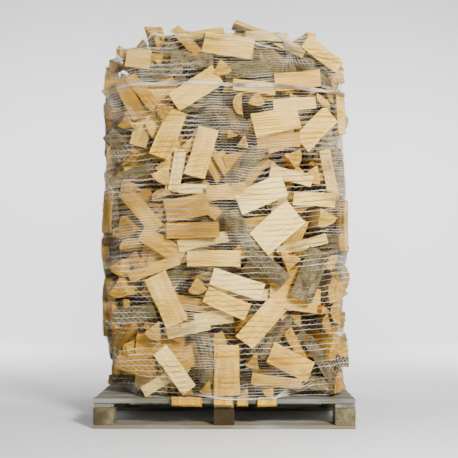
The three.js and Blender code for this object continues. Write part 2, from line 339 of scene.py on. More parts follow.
# Sections of split logs. u runs across the side that shows and v into the pile. Each section is a list of
# corners, a finish for the side after each corner, and the place of the tree's heart.
def wedge(width, spread=52, mirrored=False):
    """A wedge split from a round log: an arc between two straight sides. A mirrored one shows bark."""
    arc = [math.radians(spread) * i / 4 for i in range(5)]
    corners = [(-width / 2, 0)] + [(width * math.cos(a) - width / 2, width * math.sin(a)) for a in arc]
    heart = (-width / 2, 0)
    if mirrored:
        corners = [(-u, v) for u, v in corners][::-1]
        heart = (width / 2, 0)
    return corners, [SPLIT] + [BARK] * 4 + [SPLIT], heart


def half(width):
    """A log split in two with its flat side out: half an oval."""
    arc = [math.pi * i / 8 for i in range(9)]
    corners = [(width / 2 * math.cos(a), width * 0.4 * math.sin(a)) for a in arc]
    return corners, [BARK] * 8 + [SPLIT], (0, 0)


def bark_out(width, spread=85):
    """A wedge with its bark out: an arc round the heart, and two split sides that meet there."""
    a = math.radians(spread)
    radius = width / 2 / math.sin(a / 2)
    corners = [(radius * math.sin(a * t), radius * (1 - math.cos(a * t))) for t in np.linspace(-0.5, 0.5, 6)]
    return corners + [(0, radius)], [BARK] * 5 + [SPLIT, SPLIT], (0, radius)


def slab(width):
    """A slab from near the bark: five straight sides, with bark on two at one edge."""
    w, d = width / 2, width * 0.55
    corners = [(-w, 0), (w, 0), (w * 0.96, d * 0.5), (w * 0.7, d), (-w * 0.75, d * 0.9)]
    return corners, [SPLIT, BARK, BARK, SPLIT, SPLIT], (-w * 0.6, -width * 0.5)


def prism(width):
    """A log split on three sides: a lopsided triangle."""
    w = width / 2
    corners = [(-w, 0), (w, 0), (w * 0.25, width * 0.8)]
    return corners, [SPLIT, SPLIT, SPLIT], (w * 0.3, width * 1.1)


SECTIONS = {
    "wedge": wedge,
    "mirrored": lambda w: wedge(w, mirrored=True),
    "broad": lambda w: wedge(w * 0.95, 68),
    "half": half,
    "bark": bark_out,
    "slab": slab,
    "prism": prism,
}


class Log:
    """One log: its section, its length, where it lies and how fine its mesh is. The rows of axes are the
    directions across, inward and along. Its tone is a name in LOG_TONES, or None for a seeded one."""

    def __init__(self, section, length, middle, axes, fine=1.0):
        self.corners, self.finishes, self.heart = section
        self.length, self.fine = length, fine
        self.middle, self.axes = np.asarray(middle, float), np.asarray(axes)
        self.tone = None
        flat = np.array(self.corners)
        low, high = flat.min(0), flat.max(0)
        self.half = np.array([*(high - low) / 2, length / 2])
        self.offset = np.array([*(high + low) / 2, 0.0])

    def centre(self):
        return self.middle + self.offset @ self.axes


def log_axes(normal, turn, lift=0.0, roll=0.0, end_on=False):
    """Axes of a log that lies flat to the outline with its length at a slope, or that points in, end on."""
    c, s = math.cos(math.radians(turn)), math.sin(math.radians(turn))
    if abs(normal[1]) >= 0.5:
        slope = np.array([c, 0, s])
    elif abs(normal[0]) > 0.5:
        slope = np.array([0, c, s])
    else:
        slope = np.array([c, s, 0])
    along = slope - normal * (slope @ normal)
    along /= np.linalg.norm(along)
    inward = -normal
    if end_on:
        along, inward = inward, -along
    across = np.cross(inward, along)
    a, b = math.radians(lift), math.radians(roll)
    along = along * math.cos(a) + inward * math.sin(a)
    inward = np.cross(along, across)
    across, inward = across * math.cos(b) + inward * math.sin(b), inward * math.cos(b) - across * math.sin(b)
    return np.array([across, inward, along])


def boxes_meet(centre, axes, half, others, slack):
    """Which stored boxes a box at each of several centres meets, by the separating-axis rule: two boxes are
    clear of each other when their shadows on some face or edge-pair direction are."""
    oc, oa, oh = others
    gap = oc[None] - centre[:, None]
    faces_a = np.broadcast_to(axes, (len(oc), 3, 3))
    crosses = np.cross(faces_a[:, :, None, :], oa[:, None, :, :]).reshape(len(oc), 9, 3)
    directions = np.concatenate([faces_a, oa, crosses], axis=1)
    length = np.linalg.norm(directions, axis=2)
    directions = directions / np.maximum(length, 1e-6)[..., None]
    reach = np.abs(np.einsum("nij,kj->nik", directions, axes)) @ (half * slack)
    reach += np.einsum("nij,nj->ni", np.abs(np.einsum("nij,nkj->nik", directions, oa)), oh * slack)
    apart = np.abs(np.einsum("cnj,nij->cni", gap, directions)) > reach[None]
    apart &= (length > 1e-3)[None]
    return ~apart.any(axis=2)


# How light, how warm and how stained a log is, from 0 to 1.
LOG_TONES = {
    "cream": (1.0, 0.05, 0.0),
    "pale": (0.85, 0.30, 0.2),
    "gold": (0.75, 0.60, 0.3),
    "amber": (0.45, 0.75, 0.4),
    "brown": (0.15, 0.95, 0.7),
}
CREAM_LOGS = (11, 13, 18, 25)
PALE_LOGS = (1, 2, 5, 7, 8, 10, 16, 19, 20, 21)
AMBER_LOGS = (15, 28, 29, 30)
BROWN_LOGS = (6, 12, 14, 23, 27)


class Heap:
    """The logs placed so far, with their boxes kept for quick tests."""

    def __init__(self):
        self.logs, self.centres, self.axes, self.halves = [], [], [], []

    def add(self, log):
        self.logs.append(log)
        self.centres.append(log.centre())
        self.axes.append(log.axes)
        self.halves.append(log.half)

    def settle(self, log, normal, deepest, slack, limit=1.0):
        """Moves a log in from the outline until it is inside it, under the crown's ceiling and clear of the
        others, and adds it. A log that never is stays out. slack is how much of each box is kept clear."""
        depths = np.arange(-0.03, deepest, 0.008)
        start = log.centre()
        centres = start - normal * depths[:, None]
        signs = np.array([[a, b, c] for a in (-1, 1) for b in (-1, 1) for c in (-1, 1)])
        corners = centres[:, None] + ((signs * log.half * 0.95) @ log.axes)[None]
        good = (size_at(corners) <= limit).all(axis=1) & (corners[..., 2] > DECK_TOP).all(axis=1)
        good &= (corners[..., 2] < crown_ceiling(corners[..., 0], corners[..., 1]) + 0.012).all(axis=1)
        if not good.any():
            return
        if self.centres:
            stored = np.array(self.centres)
            reach = np.linalg.norm(log.half) + np.linalg.norm(np.array(self.halves), axis=1)
            near = np.linalg.norm(stored - (start - normal * deepest / 2), axis=1) < reach + deepest / 2
            if near.any():
                index = np.flatnonzero(near)
                others = stored[index], np.array(self.axes)[index], np.array(self.halves)[index]
                good &= ~boxes_meet(centres, log.axes, log.half, others, slack).any(axis=1)
                if not good.any():
                    return
        depth = depths[int(np.argmax(good))]
        log.middle = log.middle - normal * depth
        if depth > 0.09:  # too deep to show much
            log.fine *= 0.6
        self.add(log)


def log_from_solid(node):
    """The log that a CAD node stands for: its length is square to its end faces, and its section is one end.
    Long sides of the section are split, and short ones are the steps of a bark arc."""
    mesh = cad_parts[node].data
    points = np.array([v.co for v in mesh.vertices])
    edges = np.array([e.vertices for e in mesh.edges])
    runs = points[edges[:, 1]] - points[edges[:, 0]]
    sides = np.linalg.norm(runs, axis=1)
    normals = np.array([p.normal for p in mesh.polygons])
    # The end faces share the one normal direction that is square to every side face.
    along = None
    for run in runs[np.argsort(-sides)]:
        direction = run / np.linalg.norm(run)
        square = np.abs(normals @ direction)
        if ((square < 0.02) | (square > 0.98)).all():
            along = direction
            break
    height = points @ along
    low, high = height.min(), height.max()
    ring = points[height < (low + high) / 2]
    ring = ring[np.unique(np.round(ring, 5), axis=0, return_index=True)[1]]
    normal = outward(ring.mean(0) + along * (high - low) / 2)[0]
    inward = -normal - along * (along @ -normal)
    inward /= np.linalg.norm(inward)
    across = np.cross(inward, along)
    middle = ring.mean(0) + along * (high - low) / 2
    flat = np.stack([(ring - middle) @ across, (ring - middle) @ inward], axis=1)
    order = np.argsort(np.arctan2(flat[:, 1] - flat[:, 1].mean(), flat[:, 0] - flat[:, 0].mean()))
    flat = flat[order]
    steps = np.linalg.norm(np.roll(flat, -1, axis=0) - flat, axis=1)
    finishes = [SPLIT if s > 1.6 * np.median(steps) else BARK for s in steps]
    split_ends = [i for i, f in enumerate(finishes) if f == SPLIT]
    if len(split_ends) >= 2:
        heart = next(flat[i] for i in split_ends if finishes[i - 1] == SPLIT)
    else:
        i = split_ends[0]
        heart = (flat[i] + flat[(i + 1) % len(flat)]) / 2
    section = [tuple(p) for p in flat], finishes, tuple(heart)
    return Log(section, high - low, middle, (across, inward, along), 1.6)


# Outer logs that show at the front: x, z, slope of the length, width of the side that shows, section and
# length. One whose section starts with end_ points into the pile, and the seed gives its length.
FRONT_LOGS = [
    (-0.340, 1.850, 90, 0.088, "end_prism"), (-0.182, 1.815, -51, 0.050, "prism", 0.18),
    (-0.250, 1.800, 60, 0.085, "bark", 0.12), (-0.410, 1.725, -10, 0.090, "wedge", 0.12),
    (-0.327, 1.735, 90, 0.078, "end_prism"), (-0.420, 1.690, -44, 0.050, "prism", 0.20),
    (-0.498, 1.710, 90, 0.085, "end_half"), (-0.153, 1.715, 0, 0.080, "mirrored", 0.20),
    (0.075, 1.885, -90, 0.110, "end_prism"), (0.200, 1.835, -4, 0.050, "slab", 0.20),
    (0.300, 1.800, -28, 0.050, "prism", 0.18), (-0.090, 1.865, 14, 0.050, "slab", 0.18),
    (0.515, 1.690, -54, 0.055, "bark", 0.20), (0.560, 1.470, -84, 0.060, "wedge", 0.20),
    (-0.385, 1.560, -51, 0.056, "slab", 0.20), (0.144, 1.510, 30, 0.075, "end_broad"),
    (0.140, 1.580, -8, 0.055, "prism", 0.20), (-0.300, 1.660, 15, 0.070, "bark", 0.20),
    (-0.525, 1.310, -48, 0.080, "mirrored", 0.18), (0.213, 1.286, -18, 0.066, "wedge", 0.20),
    (0.254, 1.325, 4, 0.070, "slab", 0.20), (0.530, 1.335, 56, 0.075, "bark", 0.20),
    (0.079, 1.315, 15, 0.062, "end_wedge"), (0.020, 1.440, -35, 0.080, "bark", 0.22),
    (0.040, 1.370, 60, 0.075, "end_broad"), (0.265, 1.200, 81, 0.055, "bark", 0.20),
    (0.311, 1.160, -14, 0.055, "slab", 0.20), (0.401, 1.158, 10, 0.092, "end_broad"),
    (0.424, 1.053, -3, 0.064, "slab", 0.20), (0.530, 1.056, 190, 0.085, "end_wedge"),
    (0.590, 0.937, 88, 0.060, "wedge", 0.24), (0.470, 0.955, 60, 0.100, "end_broad"),
    (0.500, 1.200, 30, 0.085, "bark", 0.20), (0.330, 0.870, 67, 0.075, "slab", 0.21),
    (-0.099, 1.047, -43, 0.060, "slab", 0.20), (0.008, 1.085, 5, 0.070, "half", 0.18),
    (-0.300, 1.161, 7, 0.088, "end_broad"), (-0.220, 1.188, 80, 0.055, "slab", 0.20),
    (-0.177, 1.106, -2, 0.040, "prism", 0.20), (-0.296, 1.080, -70, 0.092, "end_half"),
    (-0.345, 0.983, 18, 0.100, "end_broad"), (-0.455, 1.123, -80, 0.070, "end_wedge"),
    (-0.400, 1.060, 35, 0.080, "bark", 0.22), (-0.385, 0.711, -54, 0.058, "slab", 0.21),
    (-0.515, 0.742, -8, 0.080, "end_wedge"), (-0.500, 0.626, 30, 0.095, "end_broad"),
    (-0.425, 0.590, 200, 0.100, "end_broad"), (-0.450, 0.810, 70, 0.080, "bark", 0.22),
    (0.306, 0.688, 20, 0.062, "wedge", 0.20), (0.515, 0.760, -11, 0.090, "end_broad"),
    (0.560, 0.860, 0, 0.080, "end_half"), (0.200, 0.740, -40, 0.075, "bark", 0.22),
    (-0.425, 0.520, 12, 0.075, "bark", 0.20), (-0.335, 0.443, 0, 0.086, "end_wedge"),
    (-0.285, 0.392, -6, 0.058, "slab", 0.22), (-0.385, 0.178, -10, 0.070, "wedge", 0.17),
    (-0.425, 0.232, 2, 0.045, "prism", 0.22), (-0.280, 0.168, -90, 0.066, "end_prism"),
    (-0.166, 0.457, 13, 0.055, "wedge", 0.20), (-0.081, 0.318, -88, 0.075, "bark", 0.22),
    (-0.087, 0.185, 12, 0.065, "end_wedge"), (-0.048, 0.500, 7, 0.060, "wedge", 0.18),
    (0.471, 0.472, 10, 0.092, "end_half"), (0.535, 0.563, 12, 0.105, "end_broad"),
    (0.430, 0.215, 50, 0.068, "wedge", 0.16), (0.465, 0.172, -100, 0.060, "end_prism"),
    (0.325, 0.395, -62, 0.045, "prism", 0.20), (0.124, 0.305, 10, 0.075, "end_wedge"),
    (0.240, 0.219, -6, 0.045, "prism", 0.23), (0.090, 0.165, 5, 0.052, "end_wedge"),
    (0.200, 0.165, 0, 0.060, "end_broad"), (0.216, 0.397, 47, 0.085, "bark", 0.21),
    (-0.180, 0.165, 0, 0.045, "prism", 0.20), (0.330, 0.165, -3, 0.052, "slab", 0.22),
    (0.090, 1.200, 50, 0.080, "bark", 0.22), (0.020, 1.190, -60, 0.060, "slab", 0.20),
    (-0.020, 0.990, 15, 0.080, "bark", 0.20), (0.080, 0.900, -60, 0.080, "bark", 0.22),
    (0.060, 0.800, 30, 0.080, "end_broad"), (-0.180, 0.720, 20, 0.075, "bark", 0.20),
    (-0.130, 0.640, 40, 0.085, "end_broad"), (-0.120, 0.560, -10, 0.060, "wedge", 0.20),
    (0.520, 1.560, -20, 0.085, "end_broad"), (0.440, 1.500, 15, 0.065, "bark", 0.20),
    (0.330, 1.500, 5, 0.060, "wedge", 0.20), (-0.020, 1.660, 40, 0.085, "end_broad"),
    (-0.290, 1.470, -30, 0.085, "end_broad"), (-0.480, 1.420, 20, 0.085, "end_wedge"),
    (-0.550, 1.180, 80, 0.085, "bark", 0.22), (-0.560, 1.000, 85, 0.080, "wedge", 0.20),
]


CAD_LOGS = sorted(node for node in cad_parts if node.startswith("log_") and node != "log_pile")
USUAL_LENGTH = 0.225, 0.25  # shortest and longest
THROWS = 12000
BIG_SHARE, TOP_SHARE, END_ON_SHARE = 0.45, 0.2, 0.45
THROWN_KINDS = {
    "wedge": 0.22,
    "mirrored": 0.22,
    "bark": 0.14,
    "broad": 0.12,
    "slab": 0.12,
    "half": 0.08,
    "prism": 0.10,
}


def centre_log(log, normal):
    """Puts the middle of a log's section on its own axis, and its outer end on the outline."""
    log.middle = log.middle - (log.offset * [1, 1, 0]) @ log.axes - normal * log.length / 2


def add_outer_logs():
    """The logs that have solids of their own."""
    chosen = [("cream", CREAM_LOGS), ("pale", PALE_LOGS), ("amber", AMBER_LOGS), ("brown", BROWN_LOGS)]
    for name in CAD_LOGS:
        log = log_from_solid(name)
        number = int(name[-2:])
        log.tone = next((tone for tone, numbers in chosen if number in numbers), "gold")
        heap.add(log)


def add_front_logs(rng):
    """The front logs, each pushed in from its place until it fits."""
    for x, z, turn, width, kind, *given in FRONT_LOGS:
        point = front_point(x, z)
        normal = outward(point)[0]
        end_on = kind.startswith("end_")
        section = SECTIONS[kind.removeprefix("end_")](width)
        length = given[0] if given else rng.uniform(*USUAL_LENGTH)
        log = Log(section, length, point, log_axes(normal, turn, end_on=end_on), 1.5)
        if end_on:
            centre_log(log, normal)
        heap.settle(log, normal, 0.16, 0.74, rng.uniform(0.985, 1.005))


def throw_logs(rng):
    """Logs thrown at the outline from every side and pushed in until they fit, larger ones first."""
    odds = np.array(list(THROWN_KINDS.values()))
    for throw in range(THROWS):
        big = throw < THROWS * BIG_SHARE
        top = rng.uniform() < TOP_SHARE
        angle = rng.uniform(0, 2 * math.pi)
        place = rng.uniform(0.05, 0.99) ** 0.5 if top else rng.uniform(DECK_TOP + 0.03, 1.80)
        point = surface_point(angle, place, top)
        normal = outward(point)[0]
        width = rng.uniform(0.080, 0.118) if big else rng.uniform(0.046, 0.085)
        length = rng.uniform(*USUAL_LENGTH)
        kind = rng.choice(list(THROWN_KINDS), p=odds / odds.sum())
        end_on = rng.uniform() < END_ON_SHARE
        turn = rng.uniform(-90, 90) if end_on else rng.normal(0, 42)
        lift, roll = rng.normal(0, 12 if top else 6), rng.normal(0, 12 if top else 9)
        limit = rng.uniform(0.97, 1.02) if top else rng.uniform(0.965, 1.005)
        log = Log(SECTIONS[kind](width), length, point, log_axes(normal, turn, lift, roll, end_on))
        if end_on:
            centre_log(log, normal)
        heap.settle(log, normal, 0.44, 0.72, limit)


def fill_middle(rng):
    """Logs in the middle of the heap, where few of those from the sides reach."""
    front = np.array([0.0, -1.0, 0.0])
    for _ in range(THROWS // 6):
        place = rng.uniform([-0.52, -0.12, DECK_TOP + 0.06], [0.52, 0.12, 1.80])
        axes = log_axes(front, rng.normal(0, 40), rng.normal(0, 15), rng.uniform(0, 360))
        log = Log(SECTIONS["broad"](rng.uniform(0.07, 0.115)), 0.24, place, axes, 0.6)
        heap.settle(log, front, 0.05, 0.62)


heap = Heap()
add_outer_logs()
throwing = np.random.default_rng(11)
add_front_logs(throwing)
throw_logs(throwing)
fill_middle(throwing)


# Offcuts that hang over the deck's front edge, held by the tucked net: x, width and tone.
OFFCUTS = [(-0.172, 0.140, "amber"), (-0.003, 0.086, "gold"), (0.083, 0.052, "amber"), (0.197, 0.088, "gold")]


def offcuts():
    """Thin four-sided offcuts that lean in over the deck's front edge."""
    tilt = math.radians(64)
    along = np.array([0, math.cos(tilt), math.sin(tilt)])
    inward = np.array([0, -math.sin(tilt), math.cos(tilt)])
    for x, width, tone in OFFCUTS:
        corners = [(-width / 2, 0), (width / 2, 0), (width * 0.46, 0.026), (-width * 0.44, 0.022)]
        section = corners, [SPLIT] * 4, (0.0, -0.09)
        log = Log(section, 0.036, (x, -0.508, 0.121), (np.cross(inward, along), inward, along), 1.6)
        log.tone = tone
        yield log


def side_points(log):
    """The section's outline as closely spaced points, and the finish of the side that each is on."""
    gap = 0.010 / log.fine
    points, finishes = [], []
    corners = log.corners
    for i, (a, finish) in enumerate(zip(corners, log.finishes)):
        b = corners[(i + 1) % len(corners)]
        count = max(1, round(math.dist(a, b) / gap))
        for k in range(count):
            points.append([a[0] + (b[0] - a[0]) * k / count, a[1] + (b[1] - a[1]) * k / count])
            finishes.append(finish)
    return np.array(points), finishes


def log_mesh_data(log, rng, wild=1.0, station=0.024):
    """One log's points before its relief, with the outward direction, bark and grain of each, its side faces,
    its end faces and the sides' finishes. Copies of the section run along the log, which tapers, bows, twists
    and has slanting ends, by amounts that wild scales."""
    flat, finishes = side_points(log)
    n = len(flat)
    stations = max(6, round(log.length / (station / log.fine))) + 1
    before, after = np.roll(flat, 1, axis=0), np.roll(flat, -1, axis=0)
    run = after - before
    out = np.stack([run[:, 1], -run[:, 0]], axis=1)
    area = np.sum(flat[:, 0] * after[:, 1] - after[:, 0] * flat[:, 1])
    out *= np.sign(area) / np.maximum(np.linalg.norm(out, axis=1, keepdims=True), 1e-9)
    t = np.linspace(-0.5, 0.5, stations)
    taper = 1 + rng.uniform(-0.05, 0.05) * t * wild
    bow = rng.normal(0, 0.0015, 2) * wild
    twist = rng.normal(0, 0.02) * wild
    mid = flat.mean(0)
    slant = rng.normal(0, 0.05, 2) * wild
    rows = []
    for ti, size in zip(t, taper):
        c, s = math.cos(twist * ti), math.sin(twist * ti)
        local = (flat - mid) @ np.array([[c, s], [-s, c]]) * size
        w = ti * log.length + (local @ slant) * abs(2 * ti) ** 4
        rows.append(np.column_stack([local + mid + bow * (1 - 4 * ti * ti), w]))
    local = np.concatenate(rows)
    direction = np.tile(np.column_stack([out, np.zeros(n)]), (stations, 1))
    is_bark = np.tile([f == BARK for f in finishes], stations)
    seed = rng.uniform(-50, 50)
    grain = np.column_stack([local[:, 2] + seed, local[:, 0] - log.heart[0], local[:, 1] - log.heart[1]])
    ring = np.arange(n)
    following = (ring + 1) % n
    quads = []
    for k in range(stations - 1):
        a, b = k * n, (k + 1) * n
        quads.append(np.stack([a + ring, a + following, b + following, b + ring], axis=1))
    quads = np.concatenate(quads)
    if area < 0:
        quads = quads[:, ::-1]
    ends = [list(ring[::-1]), list((stations - 1) * n + ring)]
    if area < 0:
        ends = [e[::-1] for e in ends]
    finish = np.tile(finishes, stations - 1)
    return local, direction, is_bark, grain, quads, ends, finish


def relief(grain, is_bark):
    """How far torn fibres and bark stand out: ridges and ledges drawn out along the grain, or lumps."""
    ridges = 0.0014 * lattice_noise(grain * [5, 75, 75], 1) + 0.0008 * lattice_noise(grain * [9, 170, 170], 2)
    ledge = 0.0032 * np.clip(4 * lattice_noise(grain * [4, 34, 34], 3), -0.5, 0.5)
    split = ridges + ledge + 0.002 * lattice_noise(grain * [7, 12, 12], 4)
    bark_lumps = 0.0022 * lattice_noise(grain * 38, 5) + 0.0012 * lattice_noise(grain * 95, 6)
    return np.where(is_bark, bark_lumps, split)


def new_mesh_object(name, points, faces, materials, face_material=None, attributes=None, sharp=None):
    """A mesh in the scene. With sharp set it is smooth, apart from edges past that angle in degrees."""
    mesh = bpy.data.meshes.new(name)
    mesh.from_pydata(points.tolist(), [], faces)
    for material in materials:
        mesh.materials.append(material)
    if face_material is not None:
        mesh.polygons.foreach_set("material_index", np.asarray(face_material, np.int32))
    for key, values in (attributes or {}).items():
        layer = mesh.attributes.new(key, "FLOAT_VECTOR", "POINT")
        layer.data.foreach_set("vector", np.asarray(values, np.float32).ravel())
    if sharp is not None:
        mesh.shade_smooth()
        mesh.set_sharp_from_angle(angle=math.radians(sharp))
    mesh.update()
    made = bpy.data.objects.new(name, mesh)
    bpy.context.scene.collection.objects.link(made)
    return made


# A dark, brown and stained log tone, painted on the left end's logs as shade.
LEFT_END_SHADE_TONE = np.array([0.1, 0.95, 0.7])


def build_logs(name, logs, seed):
    """One mesh of several logs, each with its own tone."""
    rng = np.random.default_rng(seed)
    points, faces, finish, grains, tones = [], [], [], [], []
    start = 0
    for log in logs:
        local, direction, is_bark, grain, quads, ends, kinds = log_mesh_data(log, rng)
        local = local + direction * relief(grain, is_bark)[:, None]
        points.append(log.middle + local @ log.axes)
        tone = rng.uniform(0, 1, 3) if log.tone is None else np.array(LOG_TONES[log.tone])
        # Painted shade: towards the load's left end each log's tone is drawn towards a dark, brown and
        # stained one, standing in for the shade on that side.
        left_shade = np.interp(log.centre()[0], [-0.58, -0.30], [0.6, 0.0])
        tone = tone + left_shade * (LEFT_END_SHADE_TONE - tone)
        tones.append(np.tile(tone, (len(local), 1)))
        grains.append(grain)
        if np.linalg.det(log.axes) < 0:
            quads, ends = quads[:, ::-1], [e[::-1] for e in ends]
        faces += (quads + start).tolist() + [[i + start for i in e] for e in ends]
        finish += list(kinds) + [END, END]
        start += len(local)
    attributes = {"grain": np.concatenate(grains), "tone": np.concatenate(tones)}
    return new_mesh_object(name, np.concatenate(points), faces, LOG_FINISHES, finish, attributes, 38)


TIERS, TIER_HEIGHT = 6, 0.31


def tier_of(log):
    """Which mesh a log belongs to, counted from the deck up."""
    return int(np.clip((log.centre()[2] - DECK_TOP) / TIER_HEIGHT, 0, TIERS - 1))


outer_pieces = []
for i, name in enumerate(CAD_LOGS):
    piece = build_logs(name.replace("log_", "outer_log_"), [heap.logs[i]], 100 + i)
    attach(piece, "root")
    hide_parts(name)
    outer_pieces.append(piece)

tipped = [[] for _ in range(TIERS)]
for log in heap.logs[len(CAD_LOGS) :] + list(offcuts()):
    tipped[tier_of(log)].append(log)
pile_pieces = []
for i, logs in enumerate(tipped):
    piece = build_logs(f"tipped_logs_{i + 1}", logs, 200 + i)
    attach(piece, "root")
    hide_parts("log_pile")
    pile_pieces.append(piece)


# ---- Pallet ------------------------------------------------------------------------------------------
# Sawn softwood, nailed: runners on the ground, nine blocks, stringers and a deck of boards. It has stood
# outdoors, so the boards are silver-grey with brown patches and the blocks olive-brown, all with worn edges.


def weathered(name, pale, deep, stain, streak_scale):
    """Worn softwood: streaks along the grain from pale to deep, stained patches, specks and dark knots."""
    material, shader, grain, tone = new_material(name, 0.85)
    light, warm, dirt = parts_of(tone)
    streaks = grain.stretched(0.05, 1, 1).noise(streak_scale, 4, 0.65)
    weather = grain.stretched(0.3, 1, 1).noise(9, 4, 0.6)
    specks = grain.noise(150, 2, 0.7)
    colour = (streaks * 0.7 + weather * 0.5 + specks * 0.2).step(0.5, 0.9).blend(pale, deep)
    colour = ((weather * 0.8 + warm * 0.3).step(0.5, 0.75) * 0.8).blend(colour, stain)
    knots = grain.stretched(0.6, 1, 1).node("TexVoronoi", {"Scale": 6.0}).step(0.05, 0.16)
    colour = ((1 - knots) * 0.7).blend(colour, tint(84, 66, 44))
    colour = colour.node("HueSaturation", {"Value": light * 0.25 + 0.86 + specks * 0.1, "Color": colour})
    plug(shader, Base_Color=colour, Normal=(streaks + specks * 0.4).bump(0.003))
    return material


BOARD_WOOD = weathered("weathered_boards", tint(142, 141, 131), tint(80, 77, 66), tint(116, 103, 74), 90)
# Near-black wood for the middle blocks: painted shade from the logs that overhang them.
SHADED_MIDDLE_BLOCK_WOOD = weathered("dark_block", tint(72, 55, 18), tint(32, 23, 5), tint(44, 33, 8), 60)
BLOCK_WOOD = weathered("weathered_blocks", tint(118, 108, 78), tint(66, 57, 36), tint(60, 50, 28), 60)


def timber(name, node, rng, finish):
    """A sawn piece of the node's size, with worn corners and furrows, its grain along its longest side."""
    low, high = (np.array(corner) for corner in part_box(node))
    size = high - low
    longest = int(np.argmax(size))
    order = [(longest + 1) % 3, (longest + 2) % 3, longest]
    room = 0.0006  # between boards and blocks that touch
    w, d = size[order[0]] / 2 - room, size[order[1]] / 2 - room
    worn = 0.0035
    corners = []
    for su, sv, first in ((1, 1, "u"), (-1, 1, "v"), (-1, -1, "u"), (1, -1, "v")):
        pair = [(su * w, sv * (d - worn)), (su * (w - worn), sv * d)]
        corners += pair if first == "u" else pair[::-1]
    axes = np.eye(3)[order]
    section = corners, [SPLIT] * 8, (w * 1.5, -d * 3)
    plain = Log(section, size[longest] - 0.001, (low + high) / 2, axes)
    local, direction, _, grain, quads, ends, _ = log_mesh_data(plain, rng, wild=0.0, station=0.03)
    # Worn sawn faces have shallow furrows along the grain, and shallow hollows.
    furrow = lattice_noise(grain * [4, 60, 60], 7) * 0.0012 + lattice_noise(grain * 14, 8) * 0.0012
    local = local - direction * np.abs(furrow)[:, None]
    # Painted shade: the stringers lie under the deck, so their light tone is cut to a fifth to darken them.
    tone = rng.uniform(0, 1, 3) * [0.2 if node.startswith("stringer_") else 1, 1, 1]
    attributes = {"grain": grain, "tone": np.tile(tone, (len(local), 1))}
    faces = quads.tolist() + [list(map(int, end)) for end in ends]
    made = new_mesh_object(name, plain.middle + local @ axes, faces, [finish], None, attributes, 40)
    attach(made, "root")
    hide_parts(node)


def build_pallet():
    """The pallet from its CAD nodes: middle blocks painted dark as shade from the logs that overhang them,
    paler end ones, and grey boards.
    """
    rng = np.random.default_rng(5)
    for node in sorted(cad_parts):
        if node.startswith("block_"):
            # Painted shade: the middle blocks get the dark wood.
            finish = SHADED_MIDDLE_BLOCK_WOOD if node.endswith("_middle") else BLOCK_WOOD
            timber("worn_" + node, node, rng, finish)
        elif node.startswith(("runner_", "stringer_", "deck_board_")):
            timber("worn_" + node, node, rng, BOARD_WOOD)


build_pallet()


# ---- Net ---------------------------------------------------------------------------------------------
# A knitted net of thin whitish strands with zigzag threads between them, wrapped twice round the load, drawn
# in over its crown and pulled tight over the logs. It has a roped edge round the load and a gather on top.

ROUND, UP = 300, 190  # how finely the net's surface is worked out, round the load and from deck to crown


def plan_angles(count):
    """Angles that step evenly round the squared oval."""
    fine = np.linspace(0, 2 * math.pi, 4001)
    points = np.array([surface_point(a, 1.0, False) for a in fine])
    run = np.concatenate([[0], np.cumsum(np.linalg.norm(np.diff(points, axis=0), axis=1))])
    return np.interp(np.linspace(0, run[-1], count, endpoint=False), run, fine)


def profile_levels(count):
    """Heights and plan shares that step evenly from the deck up the side and over the crown to its middle."""
    rise = np.sin(np.linspace(0, math.pi / 2, 400)) ** 0.6
    side = np.linspace(DECK_TOP - 0.005, SHOULDER, 50, endpoint=False)
    z = np.concatenate([side, SHOULDER + (CROWN_TOP - SHOULDER) * rise])
    share = plan_share(z)
    share[-1] = 0.02
    run = np.concatenate([[0], np.cumsum(np.hypot(np.diff(z), np.diff(share) * 0.56))])
    even = np.linspace(0, run[-1], count)
    return np.interp(even, run, z), np.interp(even, run, share), run[-1]


def wood_under_net():
    """A search tree of all the logs' faces."""
    points, faces, start = [], [], 0
    for piece in wood_pieces:
        count = len(piece.data.vertices)
        co = np.zeros(count * 3)
        piece.data.vertices.foreach_get("co", co)
        points += co.reshape(-1, 3).tolist()
        faces += [[v + start for v in p.vertices] for p in piece.data.polygons]
        start += count
    return BVHTree.FromPolygons(points, faces)


